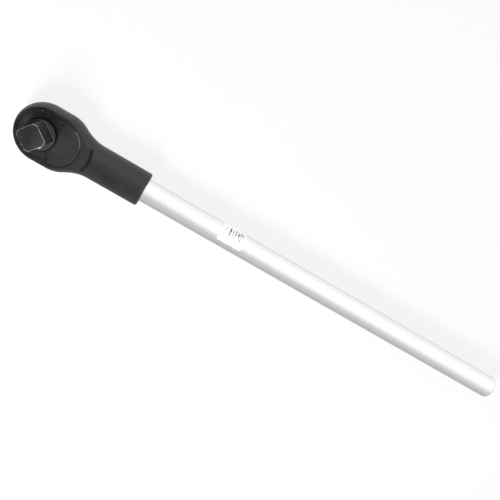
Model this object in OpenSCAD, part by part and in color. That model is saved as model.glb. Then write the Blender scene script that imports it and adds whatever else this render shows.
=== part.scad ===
// Reversible 3/4 inch drive ratchet with a pear-shaped head and a tubular handle.
// Millimetres. The origin is on the drive axis, on the shoulder where a socket seats.
// +X runs along the handle to its free end, +Z points to the tip of the drive square.

/* [Drive] */
// Width across the flats of the drive square
drive_af = 19.05; // [19.0:0.01:19.1]
// Length of the drive square above the shoulder
drive_len = 22; // [20:0.5:24]
// Turn of the drive square about its axis at rest, degrees
drive_turn = 52; // [0:1:90]
// Radius of the round boss below the square
boss_r = 13.3; // [13.2:0.05:13.5]
// Height of the boss above the head's face
boss_h = 4; // [3:0.5:6]
// Teeth on the ratchet gear
gear_teeth = 36; // [36:36:72]
// Outer radius of the ratchet gear
gear_r = 17; // [16.9:0.05:17.1]

/* [Head] */
// Radius of the head at half thickness
head_r = 26.4; // [26:0.1:28]
// Thickness of the head between its two flat faces
head_t = 22; // [22:0.5:24]
// Radius of the flat face at the head's round end
face_r = 23.3; // [23:0.1:24.5]
// Thickness of the cover plate
cover_t = 3.5; // [3:0.1:4]
// Radius of the cover's large lobe, around the drive
cover_drive_r = 20.4; // [20:0.1:20.8]
// Radius of the cover's small lobe, over the pawl
cover_pawl_r = 20.2; // [19.8:0.1:20.4]
// Distance from the drive axis to the centre of the small lobe
cover_pawl_x = 15.15; // [15:0.05:15.4]

/* [Socket] */
// Outer radius of the collar that holds the handle
collar_r = 16; // [15.5:0.1:17]
// Distance from the drive axis to the collar's mouth
collar_end = 98.3; // [90:0.1:105]
// Depth of the handle bore
bore_depth = 52; // [45:0.5:53]

/* [Handle] */
// Outer radius of the handle tube
tube_r = 10.65; // [10.5:0.05:11]
// Inner radius of the handle tube
tube_bore_r = 7.4; // [6:0.1:7.8]
// Distance from the drive axis to the end of the handle tube
tube_end = 484; // [380:0.1:540]

/* [Selector] */
// Turn of the direction lever from one stop to the other, degrees
lever_throw = 44; // [40:1:46]
// Reach of the direction lever from its pivot
lever_reach = 14.5; // [12:0.5:15]

/* [Hidden] */

// Levels
face_z = -boss_h;
back_z = face_z - head_t;
mid_z = face_z - head_t / 2;
cavity_top = face_z - cover_t;
cavity_floor = back_z + 5.3;
run = 0.05;                      // radial clearance of a running fit

// Gear
tooth_depth = 1.5;
washer_t = 0.5;
gear_gap = 0.15;                 // axial play above the gear
gear_z0 = cavity_floor + washer_t + 0.05;
gear_z1 = cavity_top - gear_gap;
gear_cavity_r = gear_r + 0.7;
journal_r = 9;
journal_len = 3.3;
square_corner_r = 12.75;         // the square's corners are turned to this radius

// Drive ball, in one flat of the square
ball_r = 3;
ball_out = 1.35;                 // how far the ball stands out of the flat
ball_z = 12;
ball_at = drive_af / 2 + ball_out - ball_r;
ball_hole_end = -2.5;
ball_face = -90;                 // turn from the square's +X flat to the ball's flat

// Pawl: it rocks about its pin, and the two noses take turns in the gear
pin_x = 22.2;
pin_r = 2;
pawl_tilt = 3.8;                 // tilt each way from the middle
nose_angle = 40;                 // where a nose meets the gear, from +X
nose_half = 7;                   // half the angle that a nose spans on the gear
pawl_half_w = 13.2;
pawl_back = 3.7;                 // from the pin's axis to the pawl's back
pawl_z0 = cavity_floor + 0.4;
pawl_z1 = cavity_top - 0.4;
pocket_r = 18.2;
pocket_half_w = 14.2;

// Selector
shaft_x = 29.9;
shaft_r = 3.3;
shaft_journal_r = 2.9;
shaft_top = cavity_top - 0.4;
stub_w = 4;
lever_gap = 0.3;
lever_t = 4.2;
lever_z1 = back_z - lever_gap;
lever_z0 = lever_z1 - lever_t;
lever_hub_r = 6.2;
lever_tip_r = 3.6;
plunger_r = 1.2;
plunger_gap = 0.33;              // the over-centre travel left free at rest
plunger_z = (gear_z0 + gear_z1) / 2;
plunger_len = 3.2;
plunger_turn = lever_throw / 2;
plunger_tip = ((shaft_x - pin_x) * cos(pawl_tilt) - pawl_back - plunger_r - plunger_gap)
    / cos(plunger_turn + pawl_tilt);

// Handle
spigot_r = 10.3;
bore_end = collar_end - bore_depth;
spigot_end = bore_end + 0.5;
shoulder_x = collar_end + 0.1;
tube_edge = 3;                   // rounding of the tube's free end
set_screw_x = 72;
set_screw_r = 3;
label_x0 = 175.5;
label_x1 = 198.7;
label_a0 = -13;                  // from +Z towards +Y, where the label starts
label_a1 = 100;
label_t = 0.1;
screw_x = 13.3;
screw_y = 17;
screw_r = 1.5;
screw_head_r = 2.4;

// ---- shared shapes ----

// Outline of the ratchet gear, grown by c for a mating clearance
module gear_outline(c = 0) {
    step = 360 / gear_teeth;
    flat = step * 0.14;
    polygon([
        for (i = [0 : gear_teeth - 1], p = [
            [gear_r - tooth_depth + c, i * step],
            [gear_r + c, (i + 0.5) * step - flat],
            [gear_r + c, (i + 0.5) * step + flat]
        ]) p[0] * [cos(p[1]), sin(p[1])]
    ]);
}

// Outline of the cover plate, grown by c
module cover_outline(c = 0) {
    circle(r = cover_drive_r + c, $fn = 96);
    translate([cover_pawl_x, 0]) circle(r = cover_pawl_r + c, $fn = 96);
}

// A round coil spring along +Z from the origin
module coil(mean_r, wire_r, length, turns) {
    sides = 8;
    per_turn = 14;
    rings = turns * per_turn;
    rise = length - 2 * wire_r;
    function ring(i) = let (a = 360 * i / per_turn, z = wire_r + rise * i / rings)
        [for (s = [0 : sides - 1])
            let (w = 360 * s / sides, r = mean_r + wire_r * cos(w))
            [r * cos(a), r * sin(a), z + wire_r * sin(w)]];
    points = [for (i = [0 : rings]) each ring(i)];
    walls = [for (i = [0 : rings - 1], s = [0 : sides - 1])
        let (a = i * sides + s, b = i * sides + (s + 1) % sides)
        [a, a + sides, b + sides, b]];
    first_cap = [for (s = [0 : sides - 1]) s];
    last_cap = [for (s = [0 : sides - 1]) rings * sides + sides - 1 - s];
    polyhedron(points, concat(walls, [first_cap], [last_cap]));
}

// Countersunk screw pointing down -Z, its head's top at the origin
module countersunk(head_r, shank_r, head_h, length) {
    rotate_extrude($fn = 48) polygon([
        [0, 0], [head_r, 0], [shank_r, -head_h], [shank_r, -length + 0.4],
        [shank_r - 0.4, -length], [0, -length]
    ]);
}

module along_x(x0, x1, r) {
    translate([x0, 0, mid_z]) rotate([0, 90, 0]) cylinder(r = r, h = x1 - x0, $fn = 96);
}

// Puts its children where the pawl stands at rest, tilted into the gear
module pawl_at_rest() {
    translate([pin_x, 0]) rotate(pawl_tilt) translate([-pin_x, 0]) children();
}

// Puts its children on the plunger's line at rest, with +X towards the pawl
module plunger_line() {
    translate([shaft_x, 0, plunger_z]) rotate(180 - plunger_turn) children();
}

// ---- head ----

module head_blank() {
    bulge = head_r - face_r;
    hull() {
        for (x = [0, 14.3]) translate([x, 0, back_z])
            cylinder(r = face_r, h = head_t, $fn = 40);
        for (x = [0, 14.8]) translate([x, 0, back_z + 4.5])
            cylinder(r = face_r + bulge * 0.72, h = head_t - 9, $fn = 40);
        for (x = [0, 15.5]) translate([x, 0, mid_z - 2.5])
            cylinder(r = head_r, h = 5, $fn = 40);
        intersection() {
            along_x(42, 49, collar_r - 0.8);
            translate([40, -20, back_z]) cube([20, 40, head_t]);
        }
    }
}

module collar() {
    edge = 1.6;
    translate([0, 0, mid_z]) rotate([0, 90, 0]) rotate_extrude($fn = 96) polygon([
        [0, 44.5], [collar_r - 3.2, 44.5], [collar_r, 49], [collar_r, collar_end - edge],
        [collar_r - edge * 0.3, collar_end - edge * 0.3],
        [collar_r - edge, collar_end], [0, collar_end]
    ]);
}

module ratchet_head() {
    color("dimgray") difference() {
        union() {
            head_blank();
            collar();
        }
        // recess for the cover plate
        translate([0, 0, cavity_top]) linear_extrude(cover_t + 1) cover_outline(0.1);
        // gear chamber and its rear journal bore
        translate([0, 0, cavity_floor]) cylinder(r = gear_cavity_r, h = 30, $fn = 96);
        translate([0, 0, cavity_floor - journal_len - 0.2])
            cylinder(r = journal_r + run, h = journal_len + 1, $fn = 96);
        // pawl pocket
        translate([0, 0, cavity_floor]) linear_extrude(20) intersection() {
            translate([cover_pawl_x, 0]) circle(r = pocket_r, $fn = 96);
            translate([4, -pocket_half_w]) square([40, 2 * pocket_half_w]);
        }
        // pin hole, selector bore, cover screw holes
        translate([pin_x, 0, cavity_floor - 3]) cylinder(r = pin_r, h = 5, $fn = 48);
        translate([shaft_x, 0, back_z - 1])
            cylinder(r = shaft_journal_r + run, h = 8, $fn = 48);
        for (s = [-1, 1]) translate([screw_x, s * screw_y, cavity_top - 7])
            cylinder(r = screw_r, h = 8, $fn = 36);
        // handle bore with a lead-in, and the set screw's hole in the underside
        along_x(bore_end, collar_end + 1, spigot_r + run);
        translate([collar_end - 0.8, 0, mid_z]) rotate([0, 90, 0])
            cylinder(r1 = spigot_r + run, r2 = spigot_r + run + 0.9, h = 0.9, $fn = 96);
        translate([set_screw_x, 0, mid_z - collar_r - 1])
            cylinder(r = set_screw_r, h = collar_r, $fn = 48);
    }
}

module cover_plate() {
    color("dimgray") difference() {
        translate([0, 0, cavity_top]) linear_extrude(cover_t) cover_outline();
        translate([0, 0, cavity_top - 1])
            cylinder(r = boss_r + run, h = cover_t + 2, $fn = 96);
        // groove for the dust seal, open to the face
        translate([0, 0, face_z - 1.6]) cylinder(r = boss_r + 1.4, h = 3, $fn = 96);
        for (s = [-1, 1]) translate([screw_x, s * screw_y, 0]) {
            translate([0, 0, cavity_top - 1])
                cylinder(r = screw_r + 0.1, h = cover_t + 2, $fn = 36);
            translate([0, 0, face_z - 1]) cylinder(
                r1 = screw_r + 0.02, r2 = screw_head_r + 0.02, h = 1.001, $fn = 48);
        }
        // top of the pawl pin's hole
        translate([pin_x, 0, cavity_top - 1]) cylinder(r = pin_r, h = 2.8, $fn = 48);
    }
}

module cover_screws() {
    color("darkgray") for (s = [-1, 1]) translate([screw_x, s * screw_y, face_z])
        difference() {
            countersunk(screw_head_r, screw_r, 1, 9);
            // hex key recess
            translate([0, 0, -1.2]) cylinder(r = 1.1, h = 2, $fn = 6);
        }
}

module drive_seal() {
    color("black") translate([0, 0, face_z - 0.85]) rotate_extrude($fn = 96)
        translate([boss_r + 0.7, 0]) circle(r = 0.67, $fn = 24);
}

module thrust_washer() {
    color("silver") translate([0, 0, cavity_floor]) difference() {
        cylinder(r = 15, h = washer_t, $fn = 72);
        translate([0, 0, -1]) cylinder(r = journal_r + 0.4, h = 3, $fn = 72);
    }
}

module pawl_pin() {
    color("silver") translate([pin_x, 0, cavity_floor - 2.9])
        cylinder(r = pin_r, h = cavity_top + 1.7 - cavity_floor + 2.9, $fn = 48);
}

// ---- drive ----

module drive_gear() {
    tip = 1.4;
    color("dimgray") difference() {
        union() {
            rotate(drive_turn) intersection() {
                translate([-drive_af / 2, -drive_af / 2, -1])
                    cube([drive_af, drive_af, drive_len + 1]);
                rotate_extrude($fn = 96) polygon([
                    [0, -1], [square_corner_r, -1], [square_corner_r, drive_len - tip],
                    [square_corner_r - 2.2, drive_len], [0, drive_len]
                ]);
            }
            rotate_extrude($fn = 96) polygon([
                [0, gear_z0 - journal_len], [journal_r - 0.5, gear_z0 - journal_len],
                [journal_r, gear_z0 - journal_len + 0.5], [journal_r, gear_z0 + 1],
                [boss_r, gear_z1 - 1], [boss_r, -0.5], [boss_r - 0.5, 0], [0, 0]
            ]);
            translate([0, 0, gear_z0]) linear_extrude(gear_z1 - gear_z0) gear_outline();
        }
        // blind hole for the ball and its spring
        rotate(drive_turn + ball_face) translate([ball_hole_end, 0, ball_z])
            rotate([0, 90, 0]) cylinder(r = ball_r + run, h = 20, $fn = 48);
    }
}

module drive_ball() {
    color("silver") rotate(drive_turn + ball_face) translate([ball_at, 0, ball_z])
        sphere(r = ball_r, $fn = 48);
}

module drive_ball_spring() {
    gap = ball_at - ball_r - ball_hole_end;
    color("silver") rotate(drive_turn + ball_face)
        translate([ball_hole_end + 0.05, 0, ball_z]) rotate([0, 90, 0])
        coil(2.2, 0.35, gap + 0.6, 6);
}

// ---- pawl ----

// One nose, in the gear's valleys, as the pawl stands at rest
module nose() {
    reach = gear_r - tooth_depth + 0.1;
    difference() {
        intersection() {
            circle(r = gear_cavity_r + 1, $fn = 96);
            polygon([
                [0, 0],
                30 * [cos(nose_angle - nose_half), sin(nose_angle - nose_half)],
                30 * [cos(nose_angle + nose_half), sin(nose_angle + nose_half)]
            ]);
        }
        circle(r = reach, $fn = 96);
        gear_outline(0.15);
    }
}

// The pawl's outline in its middle position
module pawl_outline() {
    band = [40, 2 * pawl_half_w];
    difference() {
        union() {
            intersection() {
                translate([cover_pawl_x, 0]) circle(r = pocket_r - 1.1, $fn = 96);
                difference() {
                    translate([4, -pawl_half_w]) square(band);
                    circle(r = gear_cavity_r + 0.5, $fn = 96);
                    translate([pin_x + pawl_back, -30]) square([30, 60]);
                }
            }
            intersection() {
                for (s = [0, 1]) mirror([0, s]) translate([pin_x, 0]) rotate(-pawl_tilt)
                    translate([-pin_x, 0]) nose();
                translate([4, -pawl_half_w]) square(band);
            }
        }
        translate([pin_x, 0]) circle(r = pin_r + run, $fn = 48);
    }
}

module pawl() {
    color("gray") translate([0, 0, pawl_z0]) linear_extrude(pawl_z1 - pawl_z0)
        pawl_at_rest() pawl_outline();
}

module pawl_plunger() {
    color("silver") plunger_line() {
        translate([plunger_tip, 0, 0]) sphere(r = plunger_r, $fn = 32);
        translate([plunger_tip - plunger_len + plunger_r, 0, 0]) rotate([0, 90, 0])
            cylinder(r = plunger_r, h = plunger_len - plunger_r, $fn = 32);
    }
}

module pawl_spring() {
    back = plunger_tip - plunger_len + plunger_r;
    color("silver") plunger_line() translate([-2.6 + 0.02, 0, 0]) rotate([0, 90, 0])
        coil(0.85, 0.2, back + 2.6 - 0.04, 5);
}

// ---- selector ----

module selector_shaft() {
    groove_z = back_z + 2.6;
    color("gray") difference() {
        union() {
            translate([shaft_x, 0, 0]) rotate_extrude($fn = 60) polygon([
                [0, lever_z1], [shaft_journal_r, lever_z1],
                [shaft_journal_r, groove_z - 0.7], [1.8, groove_z - 0.7],
                [1.8, groove_z + 0.7], [shaft_journal_r, groove_z + 0.7],
                [shaft_journal_r, cavity_floor + 0.1], [shaft_r, cavity_floor + 0.1],
                [shaft_r, shaft_top - 0.4], [shaft_r - 0.4, shaft_top], [0, shaft_top]
            ]);
            translate([shaft_x, 0, lever_z1 - 2.4]) rotate(-plunger_turn)
                translate([-stub_w / 2, -stub_w / 2, 0]) cube([stub_w, stub_w, 3]);
        }
        plunger_line() translate([-2.6, 0, 0]) rotate([0, 90, 0])
            cylinder(r = plunger_r + 0.04, h = 10, $fn = 32);
        translate([shaft_x, 0, lever_z0 - 1]) cylinder(r = 1, h = 7, $fn = 32);
    }
}

module selector_seal() {
    color("black") translate([shaft_x, 0, back_z + 2.6]) rotate_extrude($fn = 60)
        translate([2.36, 0]) circle(r = 0.56, $fn = 24);
}

module selector_lever() {
    color("dimgray") difference() {
        translate([shaft_x, 0, lever_z0]) rotate(-plunger_turn) {
            cylinder(r = lever_hub_r, h = lever_t, $fn = 60);
            linear_extrude(lever_t) polygon([
                [0, -lever_hub_r], [lever_reach - lever_tip_r, -lever_tip_r],
                [lever_reach - lever_tip_r, lever_tip_r], [0, lever_hub_r]
            ]);
            translate([lever_reach - lever_tip_r, 0, 0])
                cylinder(r = lever_tip_r, h = lever_t, $fn = 48);
        }
        translate([shaft_x, 0, lever_z1 - 2.45]) rotate(-plunger_turn)
            translate([-stub_w / 2 - 0.03, -stub_w / 2 - 0.03, 0])
            cube([stub_w + 0.06, stub_w + 0.06, 4]);
        translate([shaft_x, 0, lever_z0 - 1]) cylinder(r = 1.3, h = 5, $fn = 32);
        translate([shaft_x, 0, lever_z0 - 0.001])
            cylinder(r1 = 2.22, r2 = 1.3, h = 0.95, $fn = 32);
    }
}

module lever_screw() {
    color("darkgray") translate([shaft_x, 0, lever_z0]) difference() {
        mirror([0, 0, 1]) countersunk(2.2, 1, 1.2, 5.8);
        translate([0, 0, -0.5]) cylinder(r = 0.8, h = 1.5, $fn = 6);
    }
}

// ---- handle ----

module label_patch(r0, r1) {
    wide = 3 * tube_r;
    mid_a = (label_a0 + label_a1) / 2;
    half = (label_a1 - label_a0) / 2;
    intersection() {
        difference() {
            along_x(label_x0, label_x1, r1);
            along_x(label_x0 - 1, label_x1 + 1, r0);
        }
        translate([label_x0 - 2, 0, mid_z]) rotate([90 - mid_a, 0, 0]) rotate([0, 90, 0])
            linear_extrude(label_x1 - label_x0 + 4) polygon([
                [0, 0], wide * [-sin(half), cos(half)], [0, wide * 2],
                wide * [sin(half), cos(half)]
            ]);
    }
}

module handle_tube() {
    e = tube_edge;
    color("gainsboro") difference() {
        translate([0, 0, mid_z]) rotate([0, 90, 0]) rotate_extrude($fn = 96) difference() {
            union() {
                translate([0, spigot_end]) square([spigot_r, 100]);
                translate([0, shoulder_x]) square([tube_r, tube_end - e - shoulder_x]);
                translate([0, tube_end - e - 1]) square([tube_r - e, e + 1]);
                translate([tube_r - e, tube_end - e]) circle(r = e, $fn = 64);
            }
            translate([-1, spigot_end - 1])
                square([tube_bore_r + 1, tube_end - spigot_end + 5]);
        }
        label_patch(tube_r - label_t, tube_r + 1);
        // seat for the set screw's cone
        translate([set_screw_x, 0, mid_z - spigot_r - 0.01])
            cylinder(r1 = 2.2, r2 = 1, h = 1.2, $fn = 36);
    }
}

module end_plug() {
    dome = 24;
    rise = 1.2;
    color("silver") translate([0, 0, mid_z]) rotate([0, 90, 0])
        rotate_extrude($fn = 96) intersection() {
            translate([0, tube_end - 14]) square([tube_bore_r, 20]);
            translate([0, tube_end + rise - dome]) circle(r = dome, $fn = 160);
        }
}

module handle_set_screw() {
    z0 = mid_z - collar_r + 0.3;
    z1 = mid_z - spigot_r + 1;
    color("darkgray") difference() {
        translate([set_screw_x, 0, 0]) rotate_extrude($fn = 48) polygon([
            [0, z0], [set_screw_r - 0.3, z0], [set_screw_r, z0 + 0.3],
            [set_screw_r, z1 - 1.6], [2.4, z1 - 1.2], [1, z1], [0, z1]
        ]);
        translate([set_screw_x, 0, z0 - 1]) cylinder(r = 1.7, h = 3.5, $fn = 6);
    }
}

module handle_label() {
    color("white") label_patch(tube_r - label_t, tube_r);
}

ratchet_head();
cover_plate();
cover_screws();
drive_seal();
thrust_washer();
pawl_pin();
drive_gear();
drive_ball();
drive_ball_spring();
pawl();
pawl_plunger();
pawl_spring();
selector_shaft();
selector_seal();
selector_lever();
lever_screw();
handle_tube();
end_plug();
handle_set_screw();
handle_label();
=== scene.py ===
"""Looks of a reversible 3/4 inch ratchet: black forged head, turned drive, satin tube handle.

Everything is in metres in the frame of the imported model: origin on the drive axis at the
socket shoulder, +X along the handle, +Z towards the tip of the drive square. Sizes are
written in millimetres and multiplied by MM.
"""
import math
import random

import bmesh
import bpy
from mathutils import Matrix, Vector


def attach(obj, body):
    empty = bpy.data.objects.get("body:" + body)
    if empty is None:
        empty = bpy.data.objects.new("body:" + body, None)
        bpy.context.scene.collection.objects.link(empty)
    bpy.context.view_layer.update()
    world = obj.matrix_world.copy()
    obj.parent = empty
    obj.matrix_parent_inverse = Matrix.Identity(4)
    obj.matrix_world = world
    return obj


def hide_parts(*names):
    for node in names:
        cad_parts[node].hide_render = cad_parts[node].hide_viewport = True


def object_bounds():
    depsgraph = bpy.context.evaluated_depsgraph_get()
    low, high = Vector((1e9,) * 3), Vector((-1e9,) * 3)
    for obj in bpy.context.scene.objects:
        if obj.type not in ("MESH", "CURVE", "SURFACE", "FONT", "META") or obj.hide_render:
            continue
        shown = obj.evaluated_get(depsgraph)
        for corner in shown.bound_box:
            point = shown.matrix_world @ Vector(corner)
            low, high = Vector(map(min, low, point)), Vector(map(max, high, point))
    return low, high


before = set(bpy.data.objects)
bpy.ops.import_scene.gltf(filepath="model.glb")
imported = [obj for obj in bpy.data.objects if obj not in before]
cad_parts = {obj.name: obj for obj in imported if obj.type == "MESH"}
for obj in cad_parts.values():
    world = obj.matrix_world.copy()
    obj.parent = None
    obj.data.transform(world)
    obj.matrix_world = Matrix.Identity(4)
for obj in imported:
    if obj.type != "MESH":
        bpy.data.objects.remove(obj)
cad_low, cad_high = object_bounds()

MM = 0.001

# ---------------------------------------------------------------- dimensions, mm
FACE_Z = -4.0                 # the head's flat face
BACK_Z = -26.0
MID_Z = (FACE_Z + BACK_Z) / 2
HALF_T = (FACE_Z - BACK_Z) / 2
COVER_T = 3.5
CAVITY_TOP = FACE_Z - COVER_T
CAVITY_FLOOR = BACK_Z + 5.3

FACE_R = 23.3                 # flat face: round end, and the centre of its far lobe
FACE_LOBE_X = 13.8
MID_R = 26.4                  # outline at half thickness
MID_LOBE_X = 15.5
TAPER_FACE = 0.67             # slopes of the two outlines towards the neck
TAPER_MID = 0.607
NECK_BLEND = 6.5              # how softly the outlines run into the collar
FACE_BLEND = 2.5
HEAD_EDGE = 0.7               # rounding of the flats' edges
COLLAR_R = 16.0
COLLAR_END = 98.3
COLLAR_EDGE = 1.7             # rounding of the collar's mouth
STEP_X = 47.6                 # where the face meets the collar, on the centreline
STEP_ARC_R = 27.0
STEP_RUN = 3.6                # length of the step's hollow fillet
STEP_REACH = 9.0              # how far the step's arc bends its neighbours

COVER_DRIVE_R = 20.4
COVER_PAWL_R = 20.2
COVER_PAWL_X = 15.15
COVER_GAP = 0.12              # between the cover's rim and its recess
SCREW_X, SCREW_Y = 13.3, 17.0
SCREW_R, SCREW_HOLE_R = 1.5, 1.6
SINK_R = 2.42                 # countersink at the cover's face

FIT = 0.05                    # radial clearance of turned fits
CHAMBER_R = 17.7              # round the gear
JOURNAL_R = 9.0
JOURNAL_DEPTH = 3.5           # of the rear recess below the cavity's floor
PIN_X, PIN_R = 22.2, 2.0      # pawl pin
PIN_DEPTH = 3.0
POCKET_R, POCKET_HALF = 18.2, 14.2
SET_SCREW_X, SET_SCREW_R = 72.0, 3.0

DRIVE_TURN = math.radians(52)
DRIVE_HALF = 19.05 / 2
DRIVE_LEN = 22.0
CORNER_R = 12.75
BOSS_R = 13.3
BALL_Z = 12.0
BALL_R = 3.0
BALL_HOLE_R = BALL_R + FIT
BALL_OUT = 1.35               # the ball stands out of the flat by this much

TUBE_R = 10.65
TUBE_BORE_R = 7.4
SPIGOT_R = 10.3
SPIGOT_START = 46.8
BORE_START = SPIGOT_START - 0.5
TUBE_START = COLLAR_END + 0.1
TUBE_END = 484.0
TUBE_EDGE = 3.0

SHAFT_X, SHAFT_BORE_R = 29.9, 2.95
LEVER_TURN = math.radians(-22)
LEVER_TOP, LEVER_BOTTOM = BACK_Z - 0.3, BACK_Z - 4.5
LEVER_HUB_R, LEVER_TIP_R, LEVER_REACH = 6.2, 3.6, 14.5
LEVER_HOLE_R, LEVER_SINK_R = 1.3, 2.7
GRIP_START, GRIP_PITCH, GRIP_R = 8.2, 1.7, 0.75
STUB_HALF, STUB_CORNER, STUB_DEPTH = 2.03, 2.86, 2.45


# ---------------------------------------------------------------- node helpers

class Nodes:
    """Adds nodes to a material's tree and wires them by name."""

    def __init__(self, name):
        self.material = bpy.data.materials.new(name)
        self.material.use_nodes = True
        self.tree = self.material.node_tree
        self.tree.nodes.clear()
        self.shader = self.add("ShaderNodeBsdfPrincipled")
        output = self.add("ShaderNodeOutputMaterial")
        self.link(self.shader.outputs["BSDF"], output.inputs["Surface"])
        self.coords = self.add("ShaderNodeTexCoord").outputs["Object"]

    def add(self, kind, **settings):
        node = self.tree.nodes.new(kind)
        for key, value in settings.items():
            if key in node.inputs:
                node.inputs[key].default_value = value
            else:
                setattr(node, key, value)
        return node

    def link(self, a, b):
        self.tree.links.new(a, b)

    def stretched(self, scale):
        """Object coordinates scaled by a different number along each axis."""
        mapping = self.add("ShaderNodeMapping")
        mapping.inputs["Scale"].default_value = scale
        self.link(self.coords, mapping.inputs["Vector"])
        return mapping.outputs["Vector"]

    def noise(self, scale, detail=3.0, roughness=0.55, vector=None):
        node = self.add("ShaderNodeTexNoise", Scale=scale, Detail=detail, Roughness=roughness)
        self.link(vector or self.coords, node.inputs["Vector"])
        return node.outputs["Fac"]

    def ramp(self, value, low, high, dark, light):
        """Maps value from low..high to dark..light, as numbers or as colours."""
        if isinstance(dark, (int, float)):
            node = self.add("ShaderNodeMapRange")
            for key, number in zip(("From Min", "From Max", "To Min", "To Max"),
                                   (low, high, dark, light)):
                node.inputs[key].default_value = number
            self.link(value, node.inputs["Value"])
            return node.outputs["Result"]
        node = self.add("ShaderNodeValToRGB")
        node.color_ramp.elements[0].position = low
        node.color_ramp.elements[1].position = high
        node.color_ramp.elements[0].color = (*dark, 1)
        node.color_ramp.elements[1].color = (*light, 1)
        self.link(value, node.inputs["Fac"])
        return node.outputs["Color"]

    def mix(self, factor, a, b):
        """A colour between a and b, each a colour or a socket."""
        node = self.add("ShaderNodeMix", data_type="RGBA")
        for socket, value in ((node.inputs[0], factor), (node.inputs[6], a), (node.inputs[7], b)):
            if isinstance(value, bpy.types.NodeSocket):
                self.link(value, socket)
            elif isinstance(value, tuple):
                socket.default_value = (*value, 1)
            else:
                socket.default_value = value
        return node.outputs[2]

    def math(self, operation, a, b=0.0):
        node = self.add("ShaderNodeMath", operation=operation)
        for socket, value in zip(node.inputs, (a, b)):
            if isinstance(value, bpy.types.NodeSocket):
                self.link(value, socket)
            else:
                socket.default_value = value
        return node.outputs[0]

    def bump(self, height, distance, strength=1.0, after=None):
        node = self.add("ShaderNodeBump", Strength=strength, Distance=distance)
        self.link(height, node.inputs["Height"])
        if after:
            self.link(after, node.inputs["Normal"])
        return node.outputs["Normal"]

    def finish(self, color=None, roughness=None, normal=None, **constants):
        for key, value in (("Base Color", color), ("Roughness", roughness)):
            if isinstance(value, bpy.types.NodeSocket):
                self.link(value, self.shader.inputs[key])
            elif isinstance(value, tuple):
                self.shader.inputs[key].default_value = (*value, 1)
            elif value is not None:
                self.shader.inputs[key].default_value = value
        if normal:
            self.link(normal, self.shader.inputs["Normal"])
        for key, value in constants.items():
            self.shader.inputs[key.replace("_", " ")].default_value = value
        return self.material


# ---------------------------------------------------------------- materials

def phosphate(name, dark, light, rough=(0.30, 0.40), grain=0.004, lines=(1, 1, 1)):
    """Black phosphated steel: slightly cloudy, with a fine grain stretched into lines."""
    n = Nodes(name)
    clouds = n.noise(70, 4, 0.6)
    fine = n.noise(1500, 3, 0.6, n.stretched(lines))
    tone = n.ramp(clouds, 0.35, 0.65, dark, light)
    color = n.mix(n.ramp(fine, 0.5, 0.75, 0.0, 0.3), tone, tuple(1.8 * c for c in light))
    roughness = n.math("ADD", n.ramp(clouds, 0.3, 0.7, *rough),
                       n.ramp(fine, 0.3, 0.7, -0.03, 0.05))
    return n.finish(color, roughness, n.bump(fine, grain * MM), Metallic=0.0, IOR=1.55)


def worn_edge(name, dark, bright, start=0.36, highlight_spots=()):
    """An edge where the black finish has rubbed through to steel in places.

    Noise above start shows steel. At the given points (x, y, z, strength) in millimetres, bright
    steel is painted in as a highlight."""
    n = Nodes(name)
    level = n.noise(420, 4, 0.7)
    for x, y, z, strength in highlight_spots:
        near = n.add("ShaderNodeVectorMath", operation="DISTANCE")
        near.inputs[1].default_value = Vector((x, y, z)) * MM
        n.link(n.coords, near.inputs[0])
        level = n.math("ADD", level, n.ramp(near.outputs["Value"], 0.003, 0.009, strength, 0.0))
    # mask of rubbed steel at random plus the painted highlights at the given points
    wear_and_highlight = n.ramp(level, start, start + 0.15, 0.0, 1.0)
    n.link(wear_and_highlight, n.shader.inputs["Metallic"])
    return n.finish(n.mix(wear_and_highlight, dark, bright), n.ramp(wear_and_highlight, 0, 1, 0.45, 0.28))


def turned_steel(name, dark, light, roughness, scale, metallic=1.0, lines=0.004):
    """Bare steel with fine machining lines; scale stretches the lines along an axis."""
    n = Nodes(name)
    line = n.noise(1.0, 2, 0.5, n.stretched(scale))
    clouds = n.noise(60, 3)
    color = n.mix(n.ramp(line, 0.35, 0.65, 0.0, 1.0), dark, light)
    rough = n.math("ADD", n.ramp(line, 0.3, 0.7, roughness * 0.85, roughness * 1.15),
                   n.ramp(clouds, 0.3, 0.7, -0.03, 0.03))
    return n.finish(color, rough, n.bump(line, lines * MM), Metallic=metallic)


def rubber(name):
    n = Nodes(name)
    grain = n.noise(2600, 2)
    return n.finish(n.ramp(grain, 0.3, 0.7, (0.003, 0.003, 0.003), (0.007, 0.007, 0.007)),
                    n.ramp(grain, 0.3, 0.7, 0.7, 0.9), n.bump(grain, 0.01 * MM),
                    Specular_IOR_Level=0.2)


def paper(name, light, dark):
    n = Nodes(name)
    fibre = n.noise(900, 4, 0.6)
    return n.finish(n.ramp(fibre, 0.3, 0.7, dark, light),
                    n.ramp(fibre, 0.3, 0.7, 0.45, 0.6), n.bump(fibre, 0.01 * MM))


# the blacks are darker than real phosphate, because the key light is strong
BLACK = phosphate("forging_black", (0.0012, 0.0012, 0.0012), (0.0035, 0.0035, 0.0035),
                  (0.33, 0.42), 0.006, (1, 1, 0.06))
FACE_BLACK = phosphate("face_black", (0.002, 0.002, 0.002), (0.005, 0.005, 0.005),
                       (0.22, 0.30))
COVER_BLACK = phosphate("cover_black", (0.0025, 0.0025, 0.0026), (0.0075, 0.0075, 0.0076),
                        (0.17, 0.24))
DRIVE_BLACK = phosphate("drive_black", (0.003, 0.0029, 0.0026), (0.006, 0.0058, 0.0053),
                        (0.38, 0.48), 0.008, (1, 1, 0.08))
# the same phosphate made darker and matt for the gap round the cover and the groove round the boss:
# painted shade
GAP_SHADE = phosphate("gap_shade_black", (0.001, 0.001, 0.001), (0.002, 0.002, 0.002), (0.7, 0.8))
EDGE = worn_edge("worn_edge", (0.03, 0.03, 0.03), (0.42, 0.41, 0.4))
EDGE_DARK = worn_edge("rubbed_edge", (0.01, 0.01, 0.01), (0.11, 0.108, 0.105), 0.45)
EDGE_BASE = worn_edge("base_edge", (0.03, 0.03, 0.03), (0.16, 0.158, 0.155), 0.3)
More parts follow.
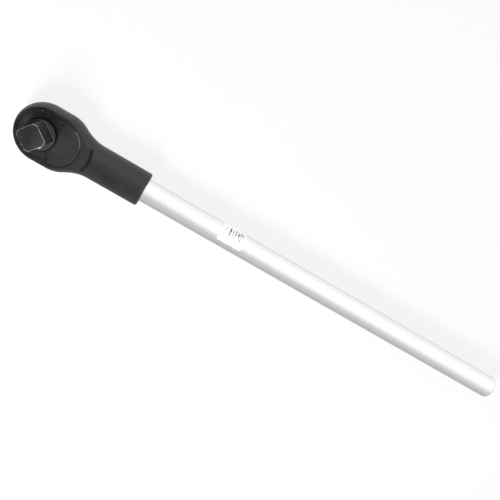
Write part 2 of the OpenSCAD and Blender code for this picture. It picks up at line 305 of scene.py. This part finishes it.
# the cover's rim edge: rubbed steel at random, and painted highlights at two points of the rim
COVER_EDGE_AND_HIGHLIGHT = worn_edge("cover_edge_and_highlight", (0.006, 0.006, 0.006), (0.55, 0.54, 0.53), 0.64,
                       ((30.6, 13.0, FACE_Z, 0.42), (-10.5, 17.5, FACE_Z, 0.18)))
# countersinks: a painted highlight beside the +Y screw, and only rare rubbed steel elsewhere
SINK_EDGE_AND_HIGHLIGHT = worn_edge("sink_edge_and_highlight", (0.006, 0.006, 0.006), (0.6, 0.59, 0.58), 0.78,
                      ((SCREW_X - 1.0, SCREW_Y + 1.5, FACE_Z, 0.45),))
TUBE = turned_steel("satin_tube", (0.84, 0.84, 0.838), (0.90, 0.90, 0.898), 0.26,
                    (2600, 40, 40), lines=0.0006)
INNER = turned_steel("machined_steel", (0.28, 0.28, 0.275), (0.4, 0.4, 0.39), 0.35,
                     (900, 900, 900))
PINS = turned_steel("ground_steel", (0.55, 0.55, 0.54), (0.66, 0.66, 0.65), 0.22,
                    (300, 300, 6000))
BALL = turned_steel("polished_ball", (0.94, 0.94, 0.94), (0.98, 0.98, 0.98), 0.14,
                    (700, 700, 700), lines=0.0005)
SCREWS = phosphate("screw_black", (0.0015, 0.0015, 0.0015), (0.004, 0.004, 0.004))
SPRING = turned_steel("spring_wire", (0.34, 0.33, 0.31), (0.5, 0.49, 0.47), 0.3,
                      (1500, 1500, 1500))
RUBBER = rubber("nitrile_rubber")
PAPER = paper("label_paper", (0.98, 0.98, 0.95), (0.93, 0.93, 0.90))
INK = paper("label_ink", (0.03, 0.029, 0.028), (0.015, 0.0145, 0.014))


# ---------------------------------------------------------------- mesh helpers

def mesh_object(name, verts, faces, materials, indices=None, sharp=30.0):
    """A mesh from points in millimetres, smooth except across edges sharper than sharp."""
    mesh = bpy.data.meshes.new(name)
    mesh.from_pydata([Vector(v) * MM for v in verts], [], faces)
    for material in materials:
        mesh.materials.append(material)
    if indices:
        mesh.polygons.foreach_set("material_index", indices)
    obj = bpy.data.objects.new(name, mesh)
    bpy.context.scene.collection.objects.link(obj)
    tidy(obj, sharp)
    return obj


def tidy(obj, sharp=30.0):
    """Welds, faces outwards and sets smooth shading with sharp edges by angle."""
    bm = bmesh.new()
    bm.from_mesh(obj.data)
    bmesh.ops.remove_doubles(bm, verts=bm.verts, dist=0.0005 * MM)
    bmesh.ops.dissolve_degenerate(bm, edges=bm.edges, dist=0.0005 * MM)
    bmesh.ops.recalc_face_normals(bm, faces=bm.faces)
    for face in bm.faces:
        face.smooth = True
    bm.to_mesh(obj.data)
    bm.free()
    obj.data.set_sharp_from_angle(angle=math.radians(sharp))


def stack(name, outline, levels, materials=(BLACK,), place=None, sharp=30.0):
    """A closed solid through outlines at rising levels.

    Each level is (z, arguments of outline, index of the material of the band up to it);
    the two end faces have the first material."""
    rings = [[(x, y, level[0]) for x, y in outline(*level[1])] for level in levels]
    count = len(rings[0])
    verts = [v for ring in rings for v in ring]
    faces, indices = [tuple(reversed(range(count)))], [0]
    for i in range(len(rings) - 1):
        for j in range(count):
            k = (j + 1) % count
            a, b = i * count, (i + 1) * count
            faces.append((a + j, a + k, b + k, b + j))
            indices.append(levels[i + 1][2])
    faces.append(tuple(range(len(verts) - count, len(verts))))
    indices.append(0)
    if place:
        verts = [place @ Vector(v) for v in verts]
    return mesh_object(name, verts, faces, materials, indices, sharp)


def disc(count=128):
    """An outline function for stack: a circle of a given radius."""
    def outline(r):
        return [(r * math.cos(2 * math.pi * i / count), r * math.sin(2 * math.pi * i / count))
                for i in range(count)]
    return outline


ALONG_X = Matrix.Translation((0, 0, MID_Z)) @ Matrix.Rotation(math.radians(90), 4, "Y")


def turned(name, profile, materials=(BLACK,), place=None, count=128, sharp=30.0):
    """A solid of revolution about Z from (z, radius, material index) steps."""
    return stack(name, disc(count), [(z, (r,), m) for z, r, m in profile], materials, place,
                 sharp)


def at(x, y, z=0.0):
    return Matrix.Translation((x, y, z))


def rounding(z0, r0, z1, r1, steps, material=0):
    """A quarter ellipse in a turned profile, from (z0, r0) to (z1, r1), bulging outwards."""
    out = []
    for i in range(1, steps + 1):
        t = math.pi / 2 * i / steps
        out.append((z0 + (z1 - z0) * math.sin(t), r1 + (r0 - r1) * math.cos(t), material))
    return out


def boolean(obj, others, operation="DIFFERENCE", sharp=30.0):
    """Cuts or joins other solids, which are used up."""
    for other in others:
        modifier = obj.modifiers.new("shape", "BOOLEAN")
        modifier.operation = operation
        modifier.solver = "EXACT"
        modifier.material_mode = "TRANSFER"
        modifier.object = other
        bpy.context.view_layer.update()
        evaluated = obj.evaluated_get(bpy.context.evaluated_depsgraph_get())
        mesh = bpy.data.meshes.new_from_object(evaluated)
        obj.modifiers.clear()
        obj.data = mesh
        bpy.data.objects.remove(other)
    tidy(obj, sharp)
    return obj


# ---------------------------------------------------------------- outlines

def arc(cx, cy, r, a0, a1, count):
    return [(cx + r * math.cos(a0 + (a1 - a0) * i / count),
             cy + r * math.sin(a0 + (a1 - a0) * i / count)) for i in range(count + 1)]


def cover_outline(grow=0.0, count=72):
    """Two overlapping circles."""
    ra, rb, d = COVER_DRIVE_R + grow, COVER_PAWL_R + grow, COVER_PAWL_X
    x = (d * d + ra * ra - rb * rb) / (2 * d)
    y = math.sqrt(ra * ra - x * x)
    a, b = math.atan2(y, x), math.atan2(y, x - d)
    return arc(0, 0, ra, a, 2 * math.pi - a, count)[:-1] + arc(d, 0, rb, -b, b, count)[:-1]


def square_outline(half, corner_r, count=10):
    """A square whose corners are turned to a radius about its centre."""
    start = math.acos(min(1.0, half / corner_r))
    points = []
    for quarter in range(4):
        a = quarter * math.pi / 2
        points += arc(0, 0, corner_r, a + start, a + math.pi / 2 - start, count)
    return points


def lever_outline(shrink=0.0, count=24):
    """A round hub tapering to a round tip."""
    hub, tip, reach = LEVER_HUB_R - shrink, LEVER_TIP_R - shrink, LEVER_REACH - LEVER_TIP_R
    a = math.acos((hub - tip) / reach)
    return arc(0, 0, hub, a, 2 * math.pi - a, 2 * count)[:-1] + arc(reach, 0, tip, -a, a, count)


def gear_outline(grow=0.0, teeth=36, radius=17.0, depth=1.5):
    points = []
    step = 2 * math.pi / teeth
    flat = step * 0.14
    for i in range(teeth):
        for r, a in ((radius - depth, i * step), (radius, (i + 0.5) * step - flat),
                     (radius, (i + 0.5) * step + flat)):
            points.append(((r + grow) * math.cos(a), (r + grow) * math.sin(a)))
    return points


# ---------------------------------------------------------------- head

def soft_max(a, b, blend):
    h = max(blend - abs(a - b), 0.0) / blend
    return max(a, b) + h * h * blend / 4


def lobe(x, centre, r, slope):
    """Half width of an outline: straight, then round, then a straight taper."""
    if x <= centre:
        return r
    touch = centre + r * math.sin(math.atan(slope))
    if x <= touch:
        return math.sqrt(r * r - (x - centre) ** 2)
    return r * math.cos(math.atan(slope)) - slope * (x - touch)


NECK_HALF = math.sqrt(COLLAR_R ** 2 - HALF_T ** 2)


def face_half(x):
    return soft_max(lobe(x, FACE_LOBE_X, FACE_R, TAPER_FACE), NECK_HALF, FACE_BLEND)


def mid_half(x):
    return soft_max(lobe(x, MID_LOBE_X, MID_R, TAPER_MID), COLLAR_R, NECK_BLEND)


FLAT_POINTS = 16
SIDE_POINTS = 28


def section(x, corner=HEAD_EDGE):
    """Half of the head's cross-section at x: (half width, height, x) from the top
    centreline over the face's edge and down the bulged side to the bottom centreline."""
    w, m = face_half(x), mid_half(x)
    rise = 1.0
    if COLLAR_END - COLLAR_EDGE < x:
        t = (x - COLLAR_END + COLLAR_EDGE) / COLLAR_EDGE
        rise = (COLLAR_R - COLLAR_EDGE * (1 - math.sqrt(max(0.0, 1 - t * t)))) / COLLAR_R
    side_r = (HALF_T ** 2 + (m - w) ** 2) / (2 * (m - w))
    full = math.asin(min(1.0, HALF_T / side_r))
    spread = math.asin(NECK_HALF / COLLAR_R)
    top = []
    for i in range(FLAT_POINTS + 1):
        y = w * math.sin(spread * i / FLAT_POINTS) / math.sin(spread)
        # stations bend along the arc of the step near it
        bend = math.exp(-((x - STEP_X) / STEP_REACH) ** 4) * y * y / (2 * STEP_ARC_R)
        at_x = x - bend
        t = min(1.0, max(0.0, (x - STEP_X + STEP_RUN) / STEP_RUN))
        lift = 1 - math.sqrt(1 - t * t) if t < 1 else 1.0
        yc = min(y, NECK_HALF)
        hump = math.sqrt(COLLAR_R ** 2 - yc * yc) - HALF_T
        top.append((y, HALF_T + hump * lift, at_x))
    edge_x = top[-1][2]
    side = []
    for i in range(1, 2 * SIDE_POINTS):
        a = full * (1 - i / SIDE_POINTS)
        blend = math.cos(a / full * math.pi / 2)
        side.append((m - side_r * (1 - math.cos(a)), side_r * math.sin(a),
                     edge_x + (x - edge_x) * blend))
    half = top + side + [(y, -z, px) for y, z, px in reversed(top)]
    return [(y * rise, z * rise, px) for y, z, px in rounded(half, len(top) - 1, corner)]


def rounded(points, corner_at, radius):
    """Rounds the two symmetric corners of a section, at corner_at from either end."""
    points = list(points)
    last = len(points) - 1
    for index, step in ((last - corner_at, -1), (corner_at, 1)):
        corner = Vector(points[index])
        before, after = Vector(points[index - step]), Vector(points[index + step])
        a = corner + (before - corner).normalized() * min(radius, (before - corner).length * 0.9)
        b = corner + (after - corner).normalized() * min(radius, (after - corner).length * 0.9)
        soft = [tuple((1 - t) ** 2 * a + 2 * t * (1 - t) * corner + t * t * b)
                for t in (0, 0.25, 0.5, 0.75, 1)]
        points[index:index + 1] = soft[::step]
    return points


def head_stations():
    """Where the head's sections stand along the handle's axis."""
    spans = ((0, 12, 6), (12, 40, 28), (40, 44, 8), (44, 47.6, 18), (47.6, 52, 12),
             (52, 60, 10), (60, COLLAR_END - COLLAR_EDGE, 14))
    xs = [a + (b - a) * i / n for a, b, n in spans for i in range(n)]
    edge = COLLAR_END - COLLAR_EDGE
    return xs + [edge + COLLAR_EDGE * math.sin(math.pi / 2 * i / 8) for i in range(9)]


def head_solid():
    """The forging without its holes: sections along the handle, swept round the drive end."""
    grid = []
    straight = [section(x) for x in head_stations()]
    for profile in reversed(straight):
        grid.append([(px, y, MID_Z + z) for y, z, px in profile])
    turn = 96
    for i in range(1, turn):
        a = math.pi / 2 + math.pi * i / turn
        grid.append([(y * math.cos(a), y * math.sin(a), MID_Z + z) for y, z, _ in straight[0]])
    for profile in straight:
        grid.append([(px, -y, MID_Z + z) for y, z, px in profile])
    n = len(grid[0])
    verts = [v for row in grid for v in row]
    faces, indices = [], []
    for i in range(len(grid) - 1):
        for j in range(n - 1):
            a, b = i * n + j, (i + 1) * n + j
            faces.append((a, b, b + 1, a + 1))
            on_flat = min(j, n - 2 - j) < FLAT_POINTS
            indices.append(1 if on_flat and grid[i][0][0] < STEP_X - 0.01 else 0)
    last = (len(grid) - 1) * n
    faces.append(tuple(range(n)) + tuple(reversed(range(last, last + n))))
    indices.append(0)
    return mesh_object("head_forging", verts, faces, (BLACK, FACE_BLACK), indices)


def make_head():
    head = head_solid()
    # the recess's walls and lip take the darker gap black, painted shade
    recess = stack("recess", cover_outline, [
        (CAVITY_TOP, (COVER_GAP,), 0), (FACE_Z - 0.5, (COVER_GAP,), 0),
        (FACE_Z + 0.1, (COVER_GAP + 0.4,), 0)], (GAP_SHADE,))
    chamber = turned("chamber", [(CAVITY_FLOOR, CHAMBER_R, 0), (FACE_Z, CHAMBER_R, 0)])
    journal = turned("journal", [(CAVITY_FLOOR - JOURNAL_DEPTH, JOURNAL_R + FIT, 0),
                                 (CAVITY_FLOOR + 1, JOURNAL_R + FIT, 0)])
    pocket = stack("pocket", pocket_outline, [(CAVITY_FLOOR, (), 0), (FACE_Z, (), 0)])
    pin = turned("pin", [(CAVITY_FLOOR - PIN_DEPTH, PIN_R, 0), (CAVITY_FLOOR + 1, PIN_R, 0)],
                 place=at(PIN_X, 0))
    shaft = turned("shaft", [(BACK_Z - 1, SHAFT_BORE_R + 0.65, 0), (BACK_Z + 0.3, SHAFT_BORE_R, 0),
                             (CAVITY_FLOOR + 1, SHAFT_BORE_R, 0)], place=at(SHAFT_X, 0))
    screws = [turned("screw", [(CAVITY_TOP - 7, SCREW_R, 0), (FACE_Z, SCREW_R, 0)],
                     place=at(SCREW_X, side * SCREW_Y)) for side in (-1, 1)]
    bore = turned("bore", [(BORE_START, SPIGOT_R + FIT, 0), (COLLAR_END - 0.8, SPIGOT_R + FIT, 0),
                           (COLLAR_END + 0.4, SPIGOT_R + 1.3, 0)], place=ALONG_X)
    set_screw = turned("set_screw", [(MID_Z - COLLAR_R - 1, SET_SCREW_R + 0.6, 0),
                                     (MID_Z - COLLAR_R + 0.4, SET_SCREW_R, 0),
                                     (MID_Z - 5, SET_SCREW_R, 0)], place=at(SET_SCREW_X, 0))
    boolean(head, [recess, chamber, journal, pocket, pin, shaft, *screws, bore, set_screw])
    return head


def pocket_outline():
    """The pawl's pocket: a circle cut by two straight sides."""
    a = math.asin(POCKET_HALF / POCKET_R)
    inside_chamber = 5
    return arc(COVER_PAWL_X, 0, POCKET_R, -a, a, 48) + [
        (inside_chamber, POCKET_HALF), (inside_chamber, -POCKET_HALF)]


def make_cover():
    # the rim's top band is worn edge with painted highlights; the band under it takes the darker gap
    # black, painted shade
    cover = stack("cover", cover_outline, [
        (CAVITY_TOP, (0.0,), 0), (FACE_Z - 0.45, (0.0,), 0), (FACE_Z - 0.12, (-0.2,), 2),
        (FACE_Z, (-0.36,), 1)], (COVER_BLACK, COVER_EDGE_AND_HIGHLIGHT, GAP_SHADE))
    hole = turned("hole", [(CAVITY_TOP - 1, BOSS_R + FIT, 0), (FACE_Z + 1, BOSS_R + FIT, 0)])
    # the groove round the boss takes the darker gap black, painted shade
    groove = turned("groove", [(FACE_Z - 1.6, BOSS_R + 1.4, 0), (FACE_Z - 0.1, BOSS_R + 1.4, 0),
                               (FACE_Z + 0.1, BOSS_R + 1.6, 0)], (GAP_SHADE,))
    # the countersinks carry the painted highlight at the +Y screw
    screws = [turned("screw", [(CAVITY_TOP - 1, SCREW_HOLE_R, 0), (FACE_Z - 1.0, SCREW_HOLE_R, 0),
                               (FACE_Z, SINK_R, 0), (FACE_Z + 0.3, SINK_R + 0.48, 0)],
                     (SINK_EDGE_AND_HIGHLIGHT,), at(SCREW_X, side * SCREW_Y)) for side in (-1, 1)]
    pin = turned("pin", [(CAVITY_TOP - 1, PIN_R, 0), (CAVITY_TOP + 1.8, PIN_R, 0)],
                 place=at(PIN_X, 0))
    return boolean(cover, [hole, groove, *screws, pin])


# ---------------------------------------------------------------- drive

def make_drive():
    spin = Matrix.Rotation(DRIVE_TURN, 4, "Z")
    half, corner, top = DRIVE_HALF, CORNER_R, DRIVE_LEN
    square = stack("square", square_outline, [
        (-3, (half, corner), 0),
        (0.02, (half + 0.4, corner + 0.3), 0),
        (0.12, (half + 0.16, corner + 0.13), 2),
        (0.4, (half, corner), 2),
        (top - 1.5, (half, corner), 0),
        (top - 0.32, (half, corner - 1.15), 0),
        (top - 0.1, (half - 0.09, corner - 1.35), 1),
        (top, (half - 0.28, corner - 1.6), 1)], (DRIVE_BLACK, EDGE, EDGE_BASE), spin)
    body = turned("boss", [
        (CAVITY_FLOOR - 2.75, JOURNAL_R - 0.5, 0), (CAVITY_FLOOR - 2.25, JOURNAL_R, 0),
        (CAVITY_FLOOR + 2, JOURNAL_R, 0), (CAVITY_TOP - 2, BOSS_R, 0), (-0.3, BOSS_R, 0),
        (-0.1, BOSS_R - 0.07, 1), (0, BOSS_R - 0.25, 1)], (DRIVE_BLACK, EDGE_DARK))
    z0, z1 = CAVITY_FLOOR + 0.55, CAVITY_TOP - 0.15
    gear = stack("gear", gear_outline, [(z0, (-0.5,), 0), (z0 + 0.5, (0.0,), 0),
                                        (z1 - 0.5, (0.0,), 0), (z1, (-0.5,), 0)],
                 (DRIVE_BLACK,))
    boolean(body, [gear, square], "UNION")
    face = Matrix.Rotation(DRIVE_TURN - math.pi / 2, 4, "Z") @ at(0, 0, BALL_Z)
    along = face @ Matrix.Rotation(math.radians(90), 4, "Y")
    hole = turned("ball_hole", [(-2.5, BALL_HOLE_R, 0), (DRIVE_HALF - 0.35, BALL_HOLE_R, 0),
                                (DRIVE_HALF + 0.2, BALL_HOLE_R + 0.5, 0)], place=along)
    boolean(body, [hole])
    body.name = "drive_body"
    return body


def make_ball():
    face = Matrix.Rotation(DRIVE_TURN - math.pi / 2, 4, "Z")
    centre = face @ Vector((DRIVE_HALF + BALL_OUT - BALL_R, 0, BALL_Z))
    profile = [(-BALL_R * math.cos(math.pi * i / 32), BALL_R * math.sin(math.pi * i / 32), 0)
               for i in range(33)]
    profile[0], profile[-1] = (-BALL_R, 0.02, 0), (BALL_R, 0.02, 0)
    return turned("detent_ball", profile, (BALL,), at(*centre), 64)


# ---------------------------------------------------------------- lever

def make_lever():
    place = at(SHAFT_X, 0) @ Matrix.Rotation(LEVER_TURN, 4, "Z")
    lever = stack("lever", lever_outline, [
        (LEVER_BOTTOM, (1.0,), 1), (LEVER_BOTTOM + 0.15, (0.45,), 1),
        (LEVER_BOTTOM + 0.5, (0.12,), 0), (LEVER_BOTTOM + 1.0, (0.0,), 0),
        (LEVER_TOP - 0.4, (0.0,), 0), (LEVER_TOP, (0.35,), 0)], (COVER_BLACK, EDGE_DARK), place)
    across = Matrix.Rotation(math.radians(90), 4, "X")
    grips = [turned("grip", [(-8, GRIP_R, 0), (8, GRIP_R, 0)], count=32, place=place @ at(
        GRIP_START + GRIP_PITCH * i, 0, LEVER_BOTTOM - 0.35) @ across) for i in range(3)]
    seat = turned("seat", [(LEVER_BOTTOM - 0.5, LEVER_SINK_R, 0),
                           (LEVER_BOTTOM + 0.95, LEVER_HOLE_R, 0),
                           (LEVER_BOTTOM + 3, LEVER_HOLE_R, 0)], place=at(SHAFT_X, 0))
    stub = stack("stub", square_outline, [
        (LEVER_TOP - STUB_DEPTH, (STUB_HALF, STUB_CORNER), 0),
        (LEVER_TOP + 1, (STUB_HALF, STUB_CORNER), 0)], place=place)
    return boolean(lever, [*grips, seat, stub])


# ---------------------------------------------------------------- handle

def make_tube():
    outer = [(SPIGOT_START, SPIGOT_R - 0.6, 0), (SPIGOT_START + 0.6, SPIGOT_R, 0),
             (TUBE_START, SPIGOT_R, 0), (TUBE_START + 0.02, TUBE_R - 0.25, 0)]
    outer += rounding(TUBE_START + 0.02, TUBE_R - 0.25, TUBE_START + 0.4, TUBE_R, 1)
    length = TUBE_END - TUBE_EDGE - TUBE_START
    outer += [(TUBE_START + 0.4 + (length - 0.4) * (i + 1) / 24, TUBE_R, 0) for i in range(24)]
    outer += rounding(TUBE_END - TUBE_EDGE, TUBE_R, TUBE_END, TUBE_R - TUBE_EDGE, 12)
    tube = turned("tube", outer, (TUBE,), ALONG_X, 160)
    bore = turned("tube_bore", [(SPIGOT_START - 1, TUBE_BORE_R, 0), (TUBE_END + 1, TUBE_BORE_R, 0)],
                  place=ALONG_X)
    return boolean(tube, [bore])


def make_plug():
    dome, rise = 24.0, 1.2
    profile = [(TUBE_END - 14, TUBE_BORE_R - 0.5, 0), (TUBE_END - 13.5, TUBE_BORE_R - 0.01, 0)]
    for i in range(13):
        r = (TUBE_BORE_R - 0.02) * (1 - i / 12) + 0.02
        profile.append((TUBE_END + rise - dome + math.sqrt(dome ** 2 - r * r) - 0.04, r, 0))
    return turned("plug", profile, (TUBE,), ALONG_X, 96)


LABEL_X0, LABEL_X1 = 175.5, 198.7
LABEL_A0, LABEL_A1 = math.radians(-13), math.radians(100)
LABEL_R = TUBE_R + 0.07
DOT_PITCH, DOT_SIZE = 0.75, 0.68


def patch(x0, x1, a0, a1, r, bulk, columns, rows):
    """Points and faces of a closed thin sheet wrapped on the tube."""
    verts, faces = [], []
    for radius in (r, r - bulk):
        for i in range(columns + 1):
            for j in range(rows + 1):
                a = a0 + (a1 - a0) * j / rows
                verts.append((x0 + (x1 - x0) * i / columns, radius * math.sin(a),
                              MID_Z + radius * math.cos(a)))
    n, layer = rows + 1, (columns + 1) * (rows + 1)
    for i in range(columns):
        for j in range(rows):
            a = i * n + j
            faces.append((a, a + 1, a + n + 1, a + n))
            faces.append((layer + a, layer + a + n, layer + a + n + 1, layer + a + 1))
    rim = [i * n for i in range(columns)] + [columns * n + j for j in range(rows)]
    rim += [i * n + rows for i in range(columns, 0, -1)] + list(range(rows, 0, -1))
    for a, b in zip(rim, rim[1:] + rim[:1]):
        faces.append((a, b, layer + b, layer + a))
    return verts, faces


def make_label():
    verts, faces = patch(LABEL_X0, LABEL_X1, LABEL_A0, LABEL_A1, LABEL_R, 0.06, 12, 40)
    return mesh_object("label_sheet", verts, faces, (PAPER,))


def make_print():
    """Meaningless bars in place of print: rows of dashes and a block of small squares."""
    draw = random.Random(7)
    verts, faces = [], []

    def bar(x0, x1, v0, v1):
        """A bar from v0 to v1 millimetres round the tube from the label's edge."""
        a0, a1 = LABEL_A0 + v0 / TUBE_R, LABEL_A0 + v1 / TUBE_R
        points, quads = patch(x0, x1, a0, a1, LABEL_R + 0.015, 0.012, 1,
                              max(2, int((v1 - v0) * 3)))
        faces.extend(tuple(len(verts) + k for k in q) for q in quads)
        verts.extend(points)

    def row(x, height, start, stop, dash, gap, wave=0.0):
        """Bars of uneven length side by side; wave shifts them up and down in a curve."""
        v = start
        while v < stop:
            length = dash * draw.uniform(0.5, 1.5)
            low = x + wave * math.sin(2.2 * v)
            bar(low, low + height * draw.uniform(0.75, 1.0), v, min(stop, v + length))
            v += length + gap * draw.uniform(0.7, 1.3)

    row(LABEL_X0 + 3.6, 0.75, 5.5, 15.5, 0.7, 0.1, 0.9)
    row(LABEL_X0 + 7.2, 1.9, 2.0, 17.0, 1.1, 0.35)
    row(LABEL_X0 + 10.4, 1.4, 2.0, 16.0, 0.8, 0.35)
    row(LABEL_X0 + 12.9, 1.4, 4.5, 17.0, 0.9, 0.3)
    for i in range(6):
        for j in range(17):
            if draw.random() < 0.58:
                x, v = LABEL_X0 + 15.5 + DOT_PITCH * i, 4.5 + DOT_PITCH * j
                bar(x, x + DOT_SIZE, v, v + DOT_SIZE)
    row(LABEL_X0 + 20.8, 0.8, 9.5, 17.5, 0.7, 0.3)
    return mesh_object("label_print", verts, faces, (INK,))


# ---------------------------------------------------------------- assembly

def dress():
    """Finishes for the CAD nodes that stay, by node name."""
    for node, material in (
            ("cover_screws", SCREWS), ("drive_seal", RUBBER), ("thrust_washer", PINS),
            ("pawl_pin", PINS), ("drive_ball_spring", SPRING), ("pawl", INNER),
            ("pawl_plunger", PINS), ("pawl_spring", SPRING), ("selector_shaft", INNER),
            ("selector_seal", RUBBER), ("lever_screw", SCREWS), ("handle_set_screw", SCREWS)):
        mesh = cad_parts[node].data
        mesh.materials.clear()
        mesh.materials.append(material)
        mesh.polygons.foreach_set("material_index", [0] * len(mesh.polygons))


def place_piece(piece, body, node):
    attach(piece, body)
    if node:
        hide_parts(node)


place_piece(make_head(), "head", "ratchet_head")
place_piece(make_cover(), "head", "cover_plate")
place_piece(make_drive(), "drive", "drive_gear")
place_piece(make_ball(), "detent", "drive_ball")
place_piece(make_lever(), "selector", "selector_lever")
place_piece(make_tube(), "head", "handle_tube")
place_piece(make_plug(), "head", "end_plug")
place_piece(make_label(), "head", "handle_label")
place_piece(make_print(), "head", None)
dress()


# ---------------------------------------------------------------- stage

SKY_TOP = 1.62        # brightness of the sky towards +Y
SKY_SIDE = 0.84       # and on the -Y side
SKY_LEAN = (0, 0.94, 0.34)
SKY_HORIZON = 0.8     # share of it left at the horizon and below
SKY_FLAG = 0.02       # share of it left behind a dark flag high over the drive end
FLAG_AXIS = (-0.5, -0.2, 0.843)
FLOOR_SIZE = 30.0
FLOOR_GAP = 0.0002    # below the lowest point of the tool
FLOOR_GLOW = 0.86     # the floor's own colour is dark: it looks pale by this glow, with faint shadows
KEY_AT = (0.023, -0.669, 0.743)
KEY_SIZE = 0.45
KEY_WATTS = 54
CAMERA_AT = (0.12367, 0.14275, 0.53225)
CAMERA_TURN = (-16.83, 0.04, 30.92)
CAMERA_LENS = 44.64


def make_floor():
    """A large glowing floor under the collar, left out of reflections, that blocks no light."""
    z = cad_low[2] - FLOOR_GAP
    corners = [(x * FLOOR_SIZE, y * FLOOR_SIZE, z) for x, y in ((-1, -1), (1, -1), (1, 1), (-1, 1))]
    mesh = bpy.data.meshes.new("floor")
    mesh.from_pydata(corners, [], [(0, 1, 2, 3)])
    n = Nodes("pale_floor")
    tone = n.noise(3, 2)
    color = n.ramp(tone, 0.3, 0.7, (0.030, 0.030, 0.030), (0.034, 0.034, 0.034))
    mesh.materials.append(n.finish(color, 0.9, Emission_Color=(1, 1, 1, 1),
                                   Emission_Strength=FLOOR_GLOW))
    floor = bpy.data.objects.new("floor", mesh)
    floor.visible_glossy = False
    floor.visible_shadow = False
    bpy.context.scene.collection.objects.link(floor)


def make_key():
    """A soft round light from -Y that lights the matt surfaces but isn't reflected."""
    data = bpy.data.lights.new("key", "AREA")
    data.shape = "DISK"
    data.size = KEY_SIZE
    data.energy = KEY_WATTS
    lamp = bpy.data.objects.new("key", data)
    lamp.location = KEY_AT
    lamp.rotation_euler = (-Vector(KEY_AT)).to_track_quat("-Z", "Y").to_euler()
    lamp.visible_glossy = False
    bpy.context.scene.collection.objects.link(lamp)


def make_world():
    """A studio sky, brightest towards +Y, with a dark flag high over the drive end."""
    world = bpy.data.worlds.new("studio")
    bpy.context.scene.world = world
    world.use_nodes = True
    tree = world.node_tree
    tree.nodes.clear()
    direction = tree.nodes.new("ShaderNodeTexCoord").outputs["Generated"]
    level = along(tree, direction, SKY_LEAN, (-0.6, 0.7, SKY_SIDE, SKY_TOP))
    horizon = along(tree, direction, (0, 0, 1), (0.0, 0.4, SKY_HORIZON, 1.0))
    open_end = along(tree, direction, (1, 0, 0), (-0.25, -0.11, SKY_FLAG, 1.0))
    outside = along(tree, direction, FLAG_AXIS, (0.70, 0.88, 1.0, 0.0))
    lit = combine(tree, "MAXIMUM", open_end, outside)
    level = combine(tree, "MULTIPLY", combine(tree, "MULTIPLY", level, horizon), lit)
    background = tree.nodes.new("ShaderNodeBackground")
    output = tree.nodes.new("ShaderNodeOutputWorld")
    tree.links.new(level, background.inputs["Strength"])
    tree.links.new(background.outputs["Background"], output.inputs["Surface"])


def along(tree, direction, axis, limits):
    """A smooth step of the direction's part along an axis: from low, from high, to low, to high."""
    part = tree.nodes.new("ShaderNodeVectorMath")
    part.operation = "DOT_PRODUCT"
    part.inputs[1].default_value = axis
    tree.links.new(direction, part.inputs[0])
    node = tree.nodes.new("ShaderNodeMapRange")
    node.interpolation_type = "SMOOTHSTEP"
    for key, value in zip(("From Min", "From Max", "To Min", "To Max"), limits):
        node.inputs[key].default_value = value
    tree.links.new(part.outputs["Value"], node.inputs["Value"])
    return node.outputs["Result"]


def combine(tree, operation, a, b):
    node = tree.nodes.new("ShaderNodeMath")
    node.operation = operation
    tree.links.new(a, node.inputs[0])
    tree.links.new(b, node.inputs[1])
    return node.outputs["Value"]


def make_camera():
    data = bpy.data.cameras.new("camera")
    data.sensor_width = 36.0
    data.lens = CAMERA_LENS
    data.clip_start = 0.01
    camera = bpy.data.objects.new("camera", data)
    camera.location = CAMERA_AT
    camera.rotation_euler = [math.radians(angle) for angle in CAMERA_TURN]
    bpy.context.scene.collection.objects.link(camera)
    bpy.context.scene.camera = camera


make_floor()
make_world()
make_camera()
make_key()
bpy.context.scene.view_settings.view_transform = "Standard"
